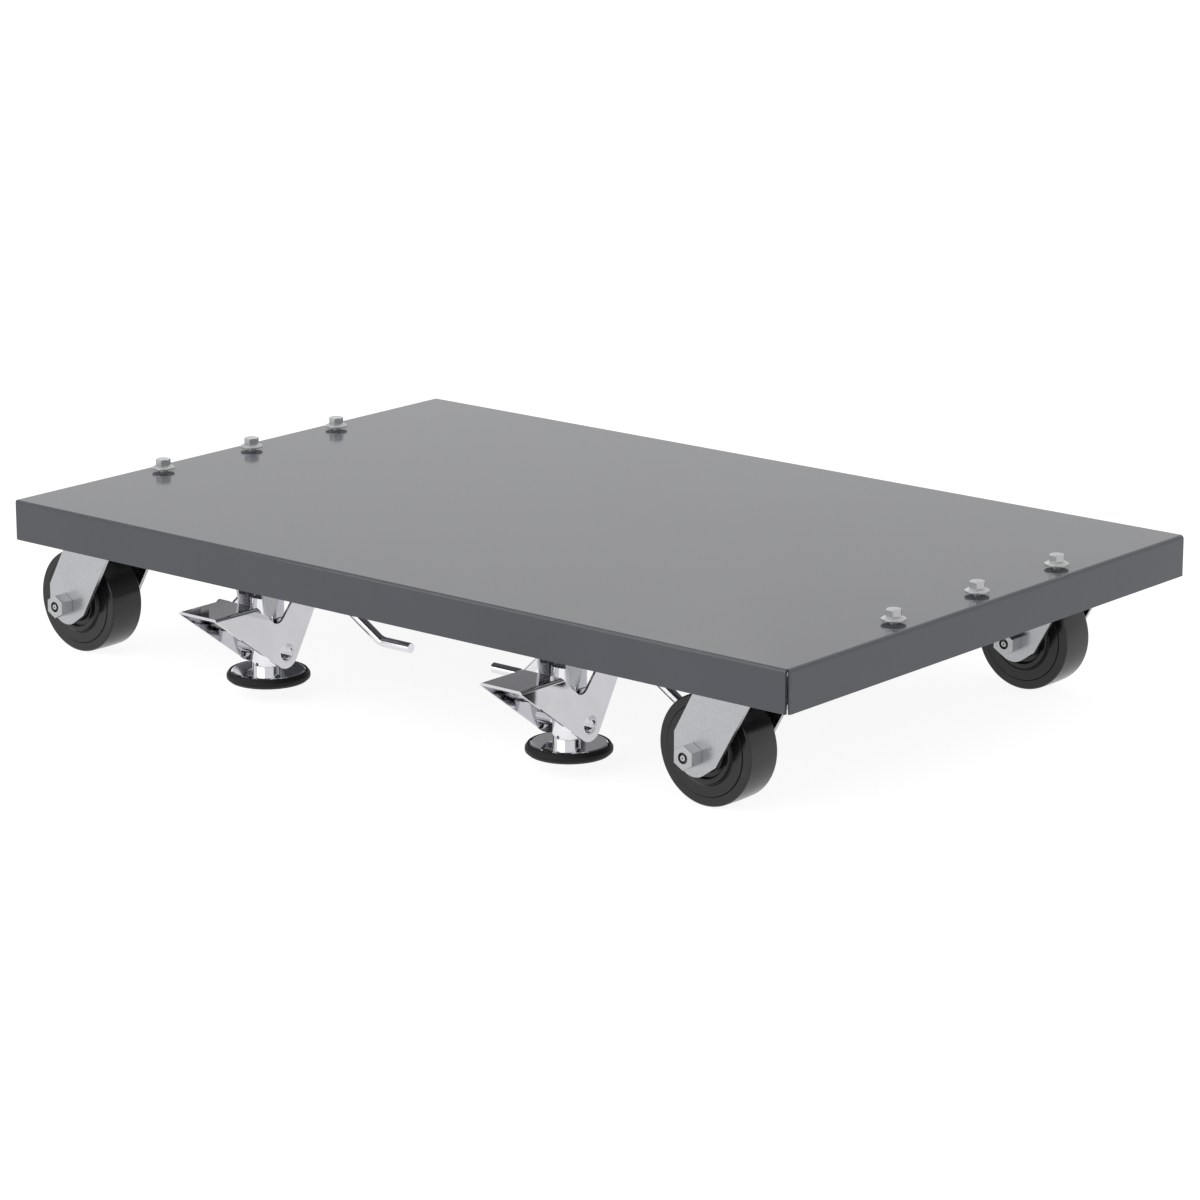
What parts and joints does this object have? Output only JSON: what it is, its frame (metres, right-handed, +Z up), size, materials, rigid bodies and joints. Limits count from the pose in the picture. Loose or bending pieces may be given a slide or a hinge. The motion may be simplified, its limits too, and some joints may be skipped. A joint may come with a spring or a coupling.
{
  "type": "platform dolly",
  "caption": "Low flat-deck platform dolly: folded steel deck on swivel casters, with foot-operated floor locks along one long side and clamp bolts at the ends.",
  "frame": {"origin": "centre of the deck's flat top face", "axes": "+X along the long side, -Y towards the side with the lock pedals, +Z up; the floor is at z = -0.150 m"},
  "size_m": [0.9272, 0.6249, 0.162],
  "materials": {
    "deck_paint": "smooth semi-gloss mid-grey powder coat on steel",
    "zinc_sheet": "zinc-plated pressed steel, satin, faintly mottled",
    "zinc_hardware": "zinc-plated fasteners, satin",
    "bright_chrome": "bright plated steel, polished",
    "bearing_steel": "ground bearing steel",
    "spring_steel": "oiled spring wire",
    "bronze": "sintered bronze bush",
    "wheel_black": "hard moulded black rubber, semi-gloss, turned tread",
    "foot_rubber": "soft black rubber foot, satin"
  },
  "bodies": {
    "chassis": {"deck_tray": "deck_paint", "deck_bolts": "zinc_hardware", "weld_nuts": "zinc_hardware", "caster_pads": "deck_paint", "lock_pads": "deck_paint", "caster_screws": "zinc_hardware", "lock_screws": "zinc_hardware", "kingpins": "zinc_hardware", "race_balls": "bearing_steel", "guide_tubes": "bright_chrome", "guide_bushes": "bronze", "top_plate_front_left": "zinc_sheet", "top_plate_front_right": "zinc_sheet", "top_plate_rear_left": "zinc_sheet", "top_plate_rear_right": "zinc_sheet", "lock_frame_left": "zinc_sheet", "return_spring_left": "spring_steel", "lock_frame_right": "zinc_sheet", "return_spring_right": "spring_steel"},
    "caster_front_left": {"fork_front_left": "zinc_sheet", "axle_front_left": "zinc_hardware", "axle_nut_front_left": "zinc_hardware"},
    "roller_front_left": {"wheel_front_left": "wheel_black", "wheel_bearing_front_left": "bearing_steel"},
    "caster_front_right": {"fork_front_right": "zinc_sheet", "axle_front_right": "zinc_hardware", "axle_nut_front_right": "zinc_hardware"},
    "roller_front_right": {"wheel_front_right": "wheel_black", "wheel_bearing_front_right": "bearing_steel"},
    "caster_rear_left": {"fork_rear_left": "zinc_sheet", "axle_rear_left": "zinc_hardware", "axle_nut_rear_left": "zinc_hardware"},
    "roller_rear_left": {"wheel_rear_left": "wheel_black", "wheel_bearing_rear_left": "bearing_steel"},
    "caster_rear_right": {"fork_rear_right": "zinc_sheet", "axle_rear_right": "zinc_hardware", "axle_nut_rear_right": "zinc_hardware"},
    "roller_rear_right": {"wheel_rear_right": "wheel_black", "wheel_bearing_rear_right": "bearing_steel"},
    "plunger_left": {"plunger_stem_left": "bright_chrome", "plunger_hub_left": "bright_chrome", "pedal_pin_left": "bright_chrome", "pad_plate_left": "bright_chrome", "pad_rubber_left": "foot_rubber"},
    "treadle_left": {"pedal_left": "bright_chrome", "knee_pin_left": "zinc_hardware"},
    "release_left": {"release_bar_left": "bright_chrome", "trip_fork_left": "zinc_sheet"},
    "plunger_right": {"plunger_stem_right": "bright_chrome", "plunger_hub_right": "bright_chrome", "pedal_pin_right": "bright_chrome", "pad_plate_right": "bright_chrome", "pad_rubber_right": "foot_rubber"},
    "treadle_right": {"pedal_right": "bright_chrome", "knee_pin_right": "zinc_hardware"},
    "release_right": {"release_bar_right": "bright_chrome", "trip_fork_right": "zinc_sheet"}
  },
  "joints": [
    {"name": "swivel_front_left", "type": "hinge", "parent": "chassis", "child": "caster_front_left", "pos_m": [-0.3788, -0.2325, -0.021], "axis": [0, 0, 1], "continuous": true},
    {"name": "roll_front_left", "type": "hinge", "parent": "caster_front_left", "child": "roller_front_left", "pos_m": [-0.4208, -0.2325, -0.1008], "axis": [0, 1, 0], "continuous": true},
    {"name": "swivel_front_right", "type": "hinge", "parent": "chassis", "child": "caster_front_right", "pos_m": [0.3788, -0.2325, -0.021], "axis": [0, 0, 1], "continuous": true},
    {"name": "roll_front_right", "type": "hinge", "parent": "caster_front_right", "child": "roller_front_right", "pos_m": [0.3368, -0.2325, -0.1008], "axis": [0, 1, 0], "continuous": true},
    {"name": "swivel_rear_left", "type": "hinge", "parent": "chassis", "child": "caster_rear_left", "pos_m": [-0.3788, 0.2325, -0.021], "axis": [0, 0, 1], "continuous": true},
    {"name": "roll_rear_left", "type": "hinge", "parent": "caster_rear_left", "child": "roller_rear_left", "pos_m": [-0.4208, 0.2325, -0.1008], "axis": [0, 1, 0], "continuous": true},
    {"name": "swivel_rear_right", "type": "hinge", "parent": "chassis", "child": "caster_rear_right", "pos_m": [0.3788, 0.2325, -0.021], "axis": [0, 0, 1], "continuous": true},
    {"name": "roll_rear_right", "type": "hinge", "parent": "caster_rear_right", "child": "roller_rear_right", "pos_m": [0.3368, 0.2325, -0.1008], "axis": [0, 1, 0], "continuous": true},
    {"name": "plunge_left", "type": "slide", "parent": "chassis", "child": "plunger_left", "axis": [0, 0, -1], "range_m": [0, 0.0144], "stiffness_N_per_m": 2500, "springref_m": -0.012, "deforming": ["return_spring_left"]},
    {"name": "press_left", "type": "hinge", "parent": "plunger_left", "child": "treadle_left", "pos_m": [-0.18, -0.2416, -0.106], "axis": [1, 0, 0], "range_deg": [0, 33.1]},
    {"name": "trip_left", "type": "hinge", "parent": "chassis", "child": "release_left", "pos_m": [-0.18, -0.212, -0.02], "axis": [1, 0, 0], "range_deg": [0, 15]},
    {"name": "plunge_right", "type": "slide", "parent": "chassis", "child": "plunger_right", "axis": [0, 0, -1], "range_m": [0, 0.0144], "stiffness_N_per_m": 2500, "springref_m": -0.012, "deforming": ["return_spring_right"]},
    {"name": "press_right", "type": "hinge", "parent": "plunger_right", "child": "treadle_right", "pos_m": [0.18, -0.2416, -0.106], "axis": [1, 0, 0], "range_deg": [0, 33.1]},
    {"name": "trip_right", "type": "hinge", "parent": "chassis", "child": "release_right", "pos_m": [0.18, -0.212, -0.02], "axis": [1, 0, 0], "range_deg": [0, 15]}
  ],
  "couplings": [
    {"joint": "press_left", "follows": "plunge_left", "rad_per_m": 40},
    {"joint": "press_right", "follows": "plunge_right", "rad_per_m": 40}
  ]
}
